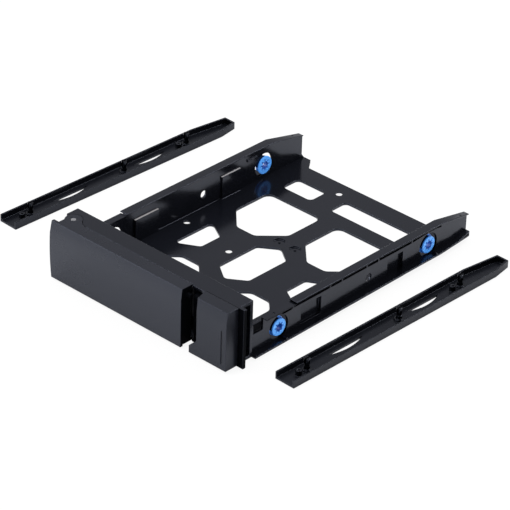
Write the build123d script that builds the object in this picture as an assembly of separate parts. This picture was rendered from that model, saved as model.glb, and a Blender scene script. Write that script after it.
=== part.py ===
from build123d import *
import os

# Hot swap drive caddy for one 3.5 inch hard drive, lying flat with its bay open upwards.
# A moulded tray holds the drive between two side walls, a front frame closes its end, and a
# handle lever swings out of that frame on an upright pin. Four blue damping washers line the
# side holes, and two loose fastening strips, whose pins go through the washers into the
# drive, lie on the ground beside the tray.
#
# Millimetres. X runs across the tray, Y from the front face backwards, Z up. The origin is
# on the tray's centreline, level with the front pair of drive holes, on the tray's underside.

# The drive that the tray holds
DRIVE_WIDTH = 101.6
DRIVE_HOLE_SPACING = 101.6
DRIVE_MIDDLE_HOLE = 60.0
DRIVE_HOLE_HEIGHT = 6.35
DRIVE_BOTTOM_HOLE_HALF = 47.625
DRIVE_BOTTOM_HOLE_Y = 44.37
SMALL_DRIVE_ACROSS = 61.72
SMALL_DRIVE_ALONG = 76.6
SMALL_DRIVE_X = -15.1
SMALL_DRIVE_Y = 39.2

# The front face and the depth of what stands behind it
FACE_Y = -35.0
FRAME_DEPTH = 17.0
SEAM_DEPTH = 7.5
SEAM_GAP = 0.25

# Base plate and its cut-outs, whose front and rear halves mirror each other
BASE_T = 1.2
PATTERN_MID = 74.6
MIDDLE_RIB = 10.8
PATTERN_HALF_GAP = 18.6
PATTERN_HALF = 52.7
WINDOW_EDGE_RIB = 12.4
FRONT_WINDOW_EDGE_RIB = 18.6
WINDOW_CHAMFER = 11.4
FRONT_WINDOW_CHAMFER = 5.6
SIDE_WINDOW_EDGE_RIB = 13.1
SIDE_WINDOW_W = 11.6
SIDE_WINDOW_HALF = 13.0
SIDE_WINDOW_SHORT_HALF = 6.4
SIDE_WINDOW_CORNER = 2.0
HEXAGON_HALF_W = 9.4
HEXAGON_SIDE_HALF = 12.5
HEXAGON_HALF = 19.0
REAR_SLOT_MID = 67.2
REAR_SLOT_W = 11.1
REAR_SLOTS = ((-38.7, -20.5), (-7.7, 38.7))
BASE_REAR = 124.0
BASE_REAR_HALF = 42.4
CORNER_REAR = 130.5
CORNER_HALF = 47.3
BASE_FRONT_DEPTH = 9.6
CUT_CORNER = 2.4
WINDOW_CORNER = 4.0

# Side walls
PAD_CLEARANCE = 0.1
WEB_STANDOFF = 1.0
WEB_T = 1.2
WALL_TOP = 18.4
FRONT_WALL_TOP = 17.4
STEP_DEPTH = 43.5
WALL_REAR = 129.0
SLOPE_START = 107.0
REAR_WALL_TOP = 14.1
FLANGE_T = 0.6
FLANGE_LIP = 0.7
FLANGE_OUT = 2.9
SHELF_OUT = 4.0
SHELF_FRONT_IN = 0.9
SHELF_T = 0.9
SHELF_FRONT_Z = 0.8
SHELF_REAR_Z = 2.4
SHELF_RISE_DEPTH = 115.0
GUSSET_T = 0.8
GUSSET_H = 2.4
GUSSET_DEPTHS = (44.1, 68.5, 76.4, 93.2, 101.2, 124.4, 135.8)
UNDERCUT_H = 3.2
UNDERCUT_DEEP = 0.7
UNDERCUT_START = 35.5
UNDERCUT_REACH = 3.5
SHELF_RIB_DEPTHS = (36.8, 138.4)
SHELF_RIB_H = 1.0
RAMP_LENGTH = 8.6
RAMP_RISE = 1.8
RAMP_T = 0.7
REAR_TAPER = 1.6
PADS = ((49.6, 62.8), (107.8, 118.6))
PAD_TOP = 13.2
PAD_SIDE = 1.0
PAD_T = 0.7
DRAFT_LIP = (124.6, 131.3, 14.2, 15.2)
FLANGE_PIP_R = 0.6
FLANGE_PIP_DEPTHS = (31.0, 158.5)

# Washers and the holes they sit in
WASHER_R = 4.7
WASHER_BORE_R = 1.75
WASHER_NECK_R = 2.9
WASHER_SKIN = 0.9
WASHER_NOTCHES = 8
NOTCH_W = 0.7
NOTCH_DEEP = 0.45
WASHER_CLEAR = 0.1
HOLE_CLEAR = 1.4
TAB_W = 6.6
TAB_T = 0.6
MIDDLE_HOLE_R = 1.9

# Base holes and the two location dimples
BOTTOM_HOLE_R = 1.7
SMALL_HOLE_R = 1.6
SINK_R = 2.9
SINK_DEEP = 0.7
DIMPLE_HALF = 5.0
DIMPLE_Y = 62.8
DIMPLE_R = 2.8
DIMPLE_DEEP = 0.8
DIMPLE_PIP_R = 0.6
DRIVE_CLEARANCE = 0.6

# Front frame, handle lever and block cover
FRAME_STANDS_OUT = 3.3
FRAME_RIGHT_OUT = 1.0
FRAME_TOP = 30.4
PLATE_T = 1.5
SHELL_T = 1.6
FACE_TOP = 30.5
FACE_BOTTOM = 0.8
LEAN = 0.8
LEAN_H = 6.2
LEVER_STANDS_OUT = 0.3
FINGER_GAP = 9.6
LEVER_BULGE = 0.8
LEVER_PLATE_IN = 2.8
LEVER_PLATE_BOTTOM = 1.6
LEVER_RIBS = (-38.0, -20.0, -2.0, 14.0)
RIB_T = 1.2
RIB_INSET = 1.0
PIVOT_IN = 5.7
PIVOT_DEPTH = 8.8
BOSS_OUTER_R = 4.2
EAR_R = 3.9
EAR_T = 1.5
EAR_GAP = 0.35
PIN_R = 1.5
PIN_RUNNING = 0.05
BLEND_R = 8.0
BLOCK_W = 18.1
BLOCK_SIDE_SLANT = 1.9
BLOCK_STANDS_OUT = 1.2
FOOT_REACH = 4.5
FOOT_H = 3.7
FOOT_SLOPE = 3.9
FRAME_FRONT_DEPTH = 7.8
GUIDE_STANDS_OUT = 4.2
GUIDE_T = 1.8
GROOVE_IN = 0.9
VENTS = 6
VENT_END = 3.9
VENT_BAR = 3.6
VENT_BOTTOM = 7.0
VENT_TOP = 25.0
STOP_LOW = 25.8
STOP_HIGH = 27.6
STOP_LENGTH = 4.6
LUG_LENGTH = 2.3
HOOK_CLEAR = 0.1
HOOK_LENGTH = 7.2
HOOK_BITE = 0.5
HOOK_LOW = 11.9
HOOK_HIGH = 15.7
WINDOW_CLEAR = 0.35
WINDOW_DEPTHS = (18.6, 24.6)

# Light pipe and its slot
SLOT_IN = 2.9
SLOT_W = 0.6
SLOT_LOW = 3.7
SLOT_HIGH = 20.6
PIPE_W = 2.6
PIPE_ASIDE = 2.4
PIPE_LAP = 1.2
LENS_REACH = 2.0
LENS_OVERLAP = 0.9
LENS_BACK = 5.2
LENS_INSET = 0.15
PIPE_LOW = 9.5
PIPE_HIGH = 14.5
PIPE_CLEAR = 0.1

# Screws that hold the frame on the base
SCREW_XS = (-36.0, -12.0, 12.0, 36.0)
SCREW_DEPTH = 13.0
SCREW_R = 1.1
SCREW_HEAD_R = 2.2
SCREW_HEAD_H = 0.95
SCREW_LENGTH = 5.8
SCREW_HOLE_R = 1.3
SCREW_BOSS_R = 2.6
SCREW_BOSS_H = 5.6
DRIVE_CROSS = 0.5

# Fastening strips
STRIP_LENGTH = 145.5
STRIP_W = 11.2
STRIP_H = 3.9
STRIP_FLOOR = 1.0
STRIP_WALL = 0.9
STRIP_PIN_FIRST = 13.8
STRIP_PIN_X = 5.9
STRIP_PIN_R = 1.45
STRIP_PIN_TOP = 7.4
STRIP_SHOULDER_R = 2.4
STRIP_SHOULDER_TOP = 1.9
STRIP_NECK_R = 1.15
STRIP_NECK_H = 1.3
STRIP_SPLIT_W = 0.8
STRIP_SPLIT_DEEP = 3.2
POST_BACK = 5.2
POST_R = 1.5
POST_TOP = 3.6
POST_BORE_R = 0.55
POST_BORE_DEEP = 1.4
SPRING_SLOTS = ((28.4, 52.1), (81.0, 102.8))
SPRING_SLOT_X = 3.7
SPRING_SLOT_BOW = 2.5
TAPER_LEFT = (124.0, 2.5)
TAPER_RIGHT = (135.0, 1.8)
RIGHT_STRIP_PLACE = (72.0, 12.9, -1.0)
LEFT_STRIP_PLACE = (-110.9, 18.0, -1.9)

# Sizes that follow from those above
PAD_FACE = DRIVE_WIDTH / 2 + PAD_CLEARANCE
WEB_IN = PAD_FACE + WEB_STANDOFF
WEB_OUT = WEB_IN + WEB_T
FLANGE_IN = WEB_IN - FLANGE_LIP
FLANGE_EDGE = WEB_OUT + FLANGE_OUT
SHELF_EDGE = WEB_OUT + SHELF_OUT
HOLE_Z = BASE_T + DRIVE_CLEARANCE + DRIVE_HOLE_HEIGHT
HOLE_YS = (0.0, DRIVE_HOLE_SPACING)
FRAME_BOTTOM = BASE_T
FRAME_HALF = WEB_OUT + FRAME_STANDS_OUT
FRAME_RIGHT = WEB_OUT + FRAME_RIGHT_OUT
LEVER_LEFT = -FRAME_HALF - LEVER_STANDS_OUT
LEVER_PLATE_LEFT = -FRAME_HALF + LEVER_PLATE_IN
PIVOT_X = -FRAME_HALF + PIVOT_IN
BLOCK_RIGHT = WEB_OUT + BLOCK_STANDS_OUT
BLOCK_LEFT = BLOCK_RIGHT - BLOCK_W
BLOCK_LEFT_BACK = BLOCK_LEFT - BLOCK_SIDE_SLANT
FOOT_LEFT = BLOCK_LEFT - FOOT_REACH
LEVER_RIGHT = BLOCK_LEFT - FINGER_GAP
GUIDE_OUT = WEB_OUT + GUIDE_STANDS_OUT
GROOVE_FLOOR = WEB_IN - GROOVE_IN
SLOT_X = BLOCK_RIGHT - SLOT_IN


def back(depth):
    """The Y of a place that lies so far behind the front face."""
    return FACE_Y + depth


def block(x0, x1, y0, y1, z0, z1):
    """A box between two corners."""
    return Pos((x0 + x1) / 2, (y0 + y1) / 2, (z0 + z1) / 2) * Box(x1 - x0, y1 - y0, z1 - z0)


def upright(x, y, z0, z1, r):
    """A round bar along Z."""
    return Pos(x, y, (z0 + z1) / 2) * Cylinder(r, z1 - z0)


def crosswise(x0, x1, y, z, r):
    """A round bar along X."""
    return Pos((x0 + x1) / 2, y, z) * Rot(0, 90, 0) * Cylinder(r, x1 - x0)


def flat_shape(points, corner=0.0):
    """A face in the XY plane, with its corners rounded if a radius is given."""
    face = make_face(Polyline(*points, close=True))
    if corner:
        face = fillet(face.vertices(), corner)
    return face


def slab(face, z0, z1):
    """A face of the XY plane made into a plate between two heights."""
    return Pos(0, 0, z0) * extrude(face, z1 - z0)


def side_profile(points, x0, x1):
    """An outline of Y and Z values carried across from x0 to x1."""
    face = make_face(Polyline(*[(x0, y, z) for y, z in points], close=True))
    return extrude(face, x1 - x0, dir=(1, 0, 0))


def front_profile(points, y0, y1):
    """An outline of X and Z values carried back from y0 to y1."""
    face = make_face(Polyline(*[(x, y0, z) for x, z in points], close=True))
    return extrude(face, y1 - y0, dir=(0, 1, 0))


def mirrored(shape):
    """The same shape on the tray's other side."""
    return mirror(shape, about=Plane.YZ)


def base_cutouts():
    """The openings that lighten the base plate, as faces."""
    rib = MIDDLE_RIB / 2
    wide = WEB_IN - WINDOW_EDGE_RIB
    narrow = WEB_IN - FRONT_WINDOW_EDGE_RIB
    mid = back(PATTERN_MID)
    near = PATTERN_HALF_GAP
    slope = WINDOW_CHAMFER
    short = FRONT_WINDOW_CHAMFER
    rear_window = [(rib, mid + near + slope), (rib + slope, mid + near), (wide - slope, mid + near),
                   (wide, mid + near + slope), (wide, mid + PATTERN_HALF), (rib, mid + PATTERN_HALF)]
    front_window = [(rib, mid - near - slope), (rib + slope, mid - near), (narrow - short, mid - near),
                    (narrow, mid - near - short), (narrow, mid - PATTERN_HALF), (rib, mid - PATTERN_HALF)]
    outer = WEB_IN - SIDE_WINDOW_EDGE_RIB
    inner = outer - SIDE_WINDOW_W
    side_window = [(inner, mid - SIDE_WINDOW_SHORT_HALF), (outer, mid - SIDE_WINDOW_HALF),
                   (outer, mid + SIDE_WINDOW_HALF), (inner, mid + SIDE_WINDOW_SHORT_HALF)]
    w = HEXAGON_HALF_W
    side = HEXAGON_SIDE_HALF
    hexagon = [(-w, mid - side), (0, mid - HEXAGON_HALF), (w, mid - side),
               (w, mid + side), (0, mid + HEXAGON_HALF), (-w, mid + side)]
    shapes = [flat_shape(hexagon, CUT_CORNER)]
    for points, corner in ((rear_window, WINDOW_CORNER), (front_window, WINDOW_CORNER),
                           (side_window, SIDE_WINDOW_CORNER)):
        shapes.append(flat_shape(points, corner))
        shapes.append(flat_shape([(-x, y) for x, y in points], corner))
    y0 = mid + REAR_SLOT_MID - REAR_SLOT_W / 2
    y1 = y0 + REAR_SLOT_W
    for x0, x1 in REAR_SLOTS:
        shapes.append(flat_shape([(x0, y0), (x1, y0), (x1, y1), (x0, y1)], CUT_CORNER))
    return shapes


def base_plate():
    """The flat bottom with its cut-outs, drive holes, screw holes and two dimples."""
    front = back(BASE_FRONT_DEPTH)
    outline = [(-WEB_OUT, front), (WEB_OUT, front), (WEB_OUT, CORNER_REAR), (CORNER_HALF, CORNER_REAR),
               (BASE_REAR_HALF, BASE_REAR), (-BASE_REAR_HALF, BASE_REAR), (-CORNER_HALF, CORNER_REAR),
               (-WEB_OUT, CORNER_REAR)]
    plate = slab(flat_shape(outline), 0, BASE_T)
    for shape in base_cutouts():
        plate -= slab(shape, -1, BASE_T + 1)
    for side in (-1, 1):
        x = side * DIMPLE_HALF
        plate -= upright(x, DIMPLE_Y, BASE_T - DIMPLE_DEEP, BASE_T + 1, DIMPLE_R)
        plate += upright(x, DIMPLE_Y, (BASE_T - DIMPLE_DEEP) / 2, BASE_T - DIMPLE_DEEP / 2, DIMPLE_PIP_R)
        plate -= upright(side * DRIVE_BOTTOM_HOLE_HALF, DRIVE_BOTTOM_HOLE_Y, -1, BASE_T + 1, BOTTOM_HOLE_R)
    for x in (SMALL_DRIVE_X, SMALL_DRIVE_X + SMALL_DRIVE_ACROSS):
        for y in (SMALL_DRIVE_Y, SMALL_DRIVE_Y + SMALL_DRIVE_ALONG):
            plate -= upright(x, y, -1, BASE_T + 1, SMALL_HOLE_R)
            plate -= Pos(x, y, SINK_DEEP / 2) * Cone(SINK_R, SMALL_HOLE_R, SINK_DEEP)
    for x in SCREW_XS:
        y = back(SCREW_DEPTH)
        plate -= upright(x, y, -1, BASE_T + 1, SCREW_HOLE_R)
        plate -= Pos(x, y, SCREW_HEAD_H / 2) * Cone(SCREW_HEAD_R + 0.1, SCREW_HOLE_R, SCREW_HEAD_H)
    return plate


def washer_seat(y):
    """The hole for a washer in the right-hand web, and the slanting tab that carries it."""
    hole = crosswise(WEB_IN - 1, WEB_OUT + 1, y, HOLE_Z, WASHER_R + HOLE_CLEAR)
    reach = 2 * (WASHER_R + HOLE_CLEAR) + 0.6
    bar = Pos(WEB_IN + TAB_T / 2, y, HOLE_Z) * Rot(45, 0, 0) * Box(TAB_T, TAB_W, reach)
    bar -= crosswise(WEB_IN - 1, WEB_OUT + 1, y, HOLE_Z, WASHER_NECK_R + WASHER_CLEAR)
    return hole, bar


def flange():
    """The right-hand top flange: a low front stretch, a step, and a slope at the rear."""
    z = WALL_TOP
    main = side_profile([(back(STEP_DEPTH), z - FLANGE_T), (SLOPE_START, z - FLANGE_T),
                         (WALL_REAR, REAR_WALL_TOP - FLANGE_T), (WALL_REAR, REAR_WALL_TOP), (SLOPE_START, z),
                         (back(STEP_DEPTH), z)], FLANGE_IN, FLANGE_EDGE)
    low = block(FLANGE_IN + 0.5, FLANGE_EDGE - 0.5, back(FRAME_DEPTH), back(STEP_DEPTH),
                FRONT_WALL_TOP - FLANGE_T, FRONT_WALL_TOP)
    for depth in FLANGE_PIP_DEPTHS:
        hole = upright((FLANGE_IN + FLANGE_EDGE) / 2, back(depth), 0, WALL_TOP + 1, FLANGE_PIP_R)
        main -= hole
        low -= hole
    return main + low


def shelf():
    """The right-hand lower shelf, which rises towards the rear, with two short ribs."""
    part = side_profile([(back(FRAME_DEPTH), SHELF_FRONT_Z), (back(SHELF_RISE_DEPTH), SHELF_REAR_Z),
                         (WALL_REAR, SHELF_REAR_Z), (WALL_REAR, SHELF_REAR_Z + SHELF_T),
                         (back(SHELF_RISE_DEPTH), SHELF_REAR_Z + SHELF_T),
                         (back(FRAME_DEPTH), SHELF_FRONT_Z + SHELF_T)], WEB_OUT - WEB_T / 2, SHELF_EDGE)
    for depth in SHELF_RIB_DEPTHS:
        along = min(1.0, (depth - FRAME_DEPTH) / (SHELF_RISE_DEPTH - FRAME_DEPTH))
        z = SHELF_FRONT_Z + along * (SHELF_REAR_Z - SHELF_FRONT_Z) + SHELF_T
        y = back(depth)
        part += block(WEB_OUT - 0.3, SHELF_EDGE, y, y + GUSSET_T, z - 0.4, z + SHELF_RIB_H)
    for y in HOLE_YS:
        part -= crosswise(WEB_OUT - 1, WEB_OUT + WASHER_SKIN + 0.4, y, HOLE_Z, WASHER_R + 0.4)
    start, top = WALL_REAR - RAMP_LENGTH, SHELF_REAR_Z + SHELF_T
    high = top + RAMP_RISE
    part += side_profile([(start, top - SHELF_T / 2), (WALL_REAR, high - RAMP_T), (WALL_REAR, high),
                          (start, top)], WEB_OUT - WEB_T / 2, SHELF_EDGE)
    part += block(WEB_OUT - WEB_T / 2, SHELF_EDGE, WALL_REAR - RAMP_T, WALL_REAR,
                  SHELF_REAR_Z, high - RAMP_T / 2)
    narrow = SHELF_EDGE - SHELF_FRONT_IN
    beyond = SHELF_EDGE + 1
    level = back(SHELF_RISE_DEPTH)
    part -= slab(flat_shape([(narrow, back(0)), (narrow, back(FRAME_DEPTH)), (SHELF_EDGE, level),
                             (beyond, level), (beyond, back(0))]), -1, WALL_TOP)
    return part


def right_wall():
    """The right-hand wall: web, flange, shelf, pressed pads, gussets and washer seats."""
    top = WALL_TOP - FLANGE_T / 2
    low_top = FRONT_WALL_TOP - FLANGE_T / 2
    web = side_profile([(back(FRAME_DEPTH), 0), (back(FRAME_DEPTH), low_top), (back(STEP_DEPTH), low_top),
                        (back(STEP_DEPTH), top), (SLOPE_START, top),
                        (WALL_REAR, REAR_WALL_TOP - FLANGE_T / 2), (WALL_REAR, SHELF_REAR_Z + SHELF_T),
                        (CORNER_REAR, BASE_T), (CORNER_REAR, 0)], WEB_IN, WEB_OUT)
    tabs = []
    for y in HOLE_YS:
        hole, bar = washer_seat(y)
        web -= hole
        tabs.append(bar)
    for bar in tabs:
        web += bar
    web -= crosswise(WEB_IN - 1, WEB_OUT + 1, DRIVE_MIDDLE_HOLE, HOLE_Z, MIDDLE_HOLE_R)
    for start, end in PADS:
        web += block(PAD_FACE, WEB_IN + 0.1, back(start) - PAD_SIDE, back(end) + PAD_SIDE,
                     BASE_T / 2, PAD_TOP)
    first, last, low, high = DRAFT_LIP
    web += block(WEB_IN - 0.8, WEB_IN + 0.1, back(first), back(last), low, high)
    wall = web + flange() + shelf()
    for start, end in PADS:
        floor = PAD_FACE + PAD_T
        wall -= block(floor, WEB_OUT + 0.01, back(start), back(end),
                      SHELF_REAR_Z + SHELF_T, PAD_TOP - PAD_SIDE)
    step = back(STEP_DEPTH)
    under = FRONT_WALL_TOP - FLANGE_T
    wall -= block(WEB_OUT - UNDERCUT_DEEP, WEB_OUT + 0.01, back(UNDERCUT_START), step,
                  under - UNDERCUT_H, under)
    under = WALL_TOP - FLANGE_T
    drop = UNDERCUT_REACH * (WALL_TOP - REAR_WALL_TOP) / (WALL_REAR - SLOPE_START)
    end = SLOPE_START + UNDERCUT_REACH
    wall -= side_profile([(step, under - UNDERCUT_H), (SLOPE_START, under - UNDERCUT_H),
                          (end, under - UNDERCUT_H - drop), (end, under - drop), (SLOPE_START, under),
                          (step, under)], WEB_OUT - UNDERCUT_DEEP, WEB_OUT + 0.01)
    for depth in GUSSET_DEPTHS:
        y = back(depth)
        low = under - UNDERCUT_H - 0.2
        rooted = WEB_OUT - UNDERCUT_DEEP - 0.2
        wall += front_profile([(rooted, low), (WEB_OUT, low), (WEB_OUT, under - GUSSET_H),
                               (FLANGE_EDGE - 0.2, under), (FLANGE_EDGE - 0.2, under + FLANGE_T / 2),
                               (rooted, under + FLANGE_T / 2)], y, y + GUSSET_T)
    y0, y1 = (back(depth) for depth in WINDOW_DEPTHS)
    wall -= block(WEB_IN - 1, WEB_OUT + 1, y0, y1, HOOK_LOW - WINDOW_CLEAR, HOOK_HIGH + WINDOW_CLEAR)
    wall -= block(FLANGE_IN - 1, FLANGE_EDGE + 1, back(FRAME_DEPTH) - 1, y1,
                  HOOK_HIGH + WINDOW_CLEAR, WALL_TOP)
    middle = (HOLE_Z + REAR_WALL_TOP) / 2
    for edge, low, high in ((FLANGE_EDGE, middle, WALL_TOP), (SHELF_EDGE, 0, middle)):
        wall -= slab(flat_shape([(SHELF_EDGE + 1, SLOPE_START), (edge, SLOPE_START),
                                 (edge - REAR_TAPER, WALL_REAR), (edge - REAR_TAPER, WALL_REAR + 1),
                                 (SHELF_EDGE + 1, WALL_REAR + 1)]), low, high)
    return wall


def tray_body():
    """The tray as one moulding."""
    wall = right_wall()
    return base_plate() + wall + mirrored(wall)


def washer(side, y):
    """A damping washer: two notched discs on a neck that the tab's hole grips, with a bore."""
    inner = PAD_FACE + 0.1
    outer = WEB_IN + TAB_T + WASHER_CLEAR + WASHER_SKIN
    ring = crosswise(inner, WEB_IN - WASHER_CLEAR, y, HOLE_Z, WASHER_R)
    ring += crosswise(WEB_IN - WASHER_CLEAR - 0.1, outer - WASHER_SKIN + 0.1, y, HOLE_Z, WASHER_NECK_R)
    ring += crosswise(outer - WASHER_SKIN, outer, y, HOLE_Z, WASHER_R)
    for number in range(WASHER_NOTCHES):
        angle = 360 / WASHER_NOTCHES * (number + 0.5)
        for face, deep in ((outer, NOTCH_DEEP), (inner, NOTCH_DEEP)):
            cutter = Pos(face, y, HOLE_Z) * Rot(angle, 0, 0) * Pos(0, 0, WASHER_R)
            ring -= cutter * Box(2 * deep, NOTCH_W, 2 * (WASHER_R - WASHER_NECK_R))
    ring -= crosswise(inner - 1, outer + 1, y, HOLE_Z, WASHER_BORE_R)
    return ring if side > 0 else mirrored(ring)


def lever_outline(grow=0.0):
    """The handle lever's plate in plan: a straight run that blends into the pivot boss."""
    run = flat_shape([(LEVER_PLATE_LEFT, back(SHELL_T / 2)), (LEVER_RIGHT, back(SHELL_T / 2)),
                      (LEVER_RIGHT, back(SEAM_DEPTH)), (LEVER_PLATE_LEFT, back(SEAM_DEPTH))])
    shape = run + Pos(PIVOT_X, back(PIVOT_DEPTH)) * Circle(BOSS_OUTER_R)
    rise = SEAM_DEPTH - PIVOT_DEPTH
    meet = (PIVOT_X + (BOSS_OUTER_R ** 2 - rise ** 2) ** 0.5, back(SEAM_DEPTH))
    corner = shape.vertices().sort_by_distance((meet[0], meet[1], 0))[0]
    shape = fillet(corner, BLEND_R)
    if grow:
        shape = offset(shape, grow, kind=Kind.INTERSECTION)
    return shape


def above_lean():
    """What the face's leaning top edge leaves free, as an outline of Y and Z values."""
    return [(back(-1), FACE_TOP - LEAN_H), (back(0), FACE_TOP - LEAN_H), (back(LEAN), FACE_TOP),
            (back(LEAN), FACE_TOP + 1), (back(-1), FACE_TOP + 1)]


def face_wall(left, right, bulge=0.0):
    """A front wall whose top leans back, from a side profile."""
    wall = side_profile([(back(0), FACE_BOTTOM), (back(0), FACE_TOP - LEAN_H), (back(LEAN), FACE_TOP),
                         (back(SHELL_T + LEAN), FACE_TOP), (back(SHELL_T), FACE_TOP - LEAN_H),
                         (back(SHELL_T), FACE_BOTTOM)], left - bulge, right)
    if bulge:
        middle = (FACE_TOP + FACE_BOTTOM) / 2
        half = (FACE_TOP - FACE_BOTTOM) / 2
        round_end = front_profile([(left - 3, FACE_BOTTOM - 1), (left + 5, FACE_BOTTOM - 1),
                                   (left + 5, FACE_TOP + 1), (left - 3, FACE_TOP + 1)], back(-1), back(4))
        radius = (half ** 2 + bulge ** 2) / (2 * bulge)
        disc = Pos(left - bulge + radius, back(1.5), middle) * Rot(90, 0, 0) * Cylinder(radius, 6)
        wall -= round_end - disc
    return wall


def handle_lever():
    """The swinging handle: face, two plates with pivot bosses, ribs, an end wall and a stop lug."""
    part = face_wall(LEVER_LEFT, LEVER_RIGHT, LEVER_BULGE)
    outline = lever_outline()
    part += slab(outline, FACE_TOP - PLATE_T, FACE_TOP)
    part += slab(outline, LEVER_PLATE_BOTTOM, LEVER_PLATE_BOTTOM + PLATE_T)
    part -= side_profile(above_lean(), LEVER_LEFT - 2, LEVER_RIGHT + 1)
    low = LEVER_PLATE_BOTTOM + PLATE_T / 2
    high = FACE_TOP - PLATE_T / 2
    for x in LEVER_RIBS + (LEVER_RIGHT - RIB_T,):
        part += block(x, x + RIB_T, back(SHELL_T / 2 + LEAN), back(SEAM_DEPTH - RIB_INSET), low, high)
    part += block(LEVER_RIGHT - RIB_T, LEVER_RIGHT + LUG_LENGTH,
                  back(SEAM_DEPTH - RIB_INSET - 3.0), back(SEAM_DEPTH - RIB_INSET - 1.4), STOP_LOW, STOP_HIGH)
    part -= upright(PIVOT_X, back(PIVOT_DEPTH), -1, FACE_TOP + 1, PIN_R + PIN_RUNNING)
    return part


def block_cover():
    """The fixed cover at the right-hand end of the face, with its foot and the light slot."""
    front = back(0)
    rear = back(FRAME_FRONT_DEPTH - SEAM_GAP)
    outside = flat_shape([(BLOCK_LEFT, front), (BLOCK_RIGHT, front), (BLOCK_RIGHT, rear),
                          (BLOCK_LEFT_BACK, rear)])
    hollow = front + SHELL_T + LEAN
    inside = flat_shape([(BLOCK_LEFT + SHELL_T, hollow), (BLOCK_RIGHT - SHELL_T, hollow),
                         (BLOCK_RIGHT - SHELL_T, rear + 1), (BLOCK_LEFT_BACK + SHELL_T, rear + 1)])
    part = slab(outside, FACE_BOTTOM, FACE_TOP)
    foot_top = FACE_BOTTOM + FOOT_H
    part += front_profile([(FOOT_LEFT, FACE_BOTTOM), (FOOT_LEFT, foot_top), (BLOCK_LEFT, foot_top + FOOT_SLOPE),
                           (BLOCK_LEFT + SHELL_T / 2, foot_top + FOOT_SLOPE),
                           (BLOCK_LEFT + SHELL_T / 2, FACE_BOTTOM)], front, back(SEAM_DEPTH - 1))
    part -= slab(inside, FACE_BOTTOM + PLATE_T, FACE_TOP - PLATE_T)
    part -= side_profile(above_lean(), FOOT_LEFT - 1, BLOCK_RIGHT + 1)
    part -= block(SLOT_X - SLOT_W / 2, SLOT_X + SLOT_W / 2, back(-1), back(4), SLOT_LOW, SLOT_HIGH)
    return part


def ledge_shape():
    """The frame's top and bottom plates in plan, cut clear of the lever."""
    rear = back(FRAME_DEPTH)
    shape = flat_shape([(-FRAME_HALF, rear), (-FRAME_HALF, back(10.1)), (-FRAME_HALF + 1.6, back(SEAM_DEPTH)),
                        (LEVER_RIGHT, back(SEAM_DEPTH)), (LEVER_RIGHT, back(SEAM_DEPTH - 0.6)),
                        (BLOCK_LEFT_BACK, back(SEAM_DEPTH - 0.6)), (BLOCK_LEFT_BACK, back(FRAME_FRONT_DEPTH)),
                        (FRAME_RIGHT, back(FRAME_FRONT_DEPTH)), (FRAME_RIGHT, rear)])
    shape -= lever_outline(SEAM_GAP)
    shape -= Pos(PIVOT_X - 4, back(6.5)) * Rectangle(6, 6.2)
    return shape


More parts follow.
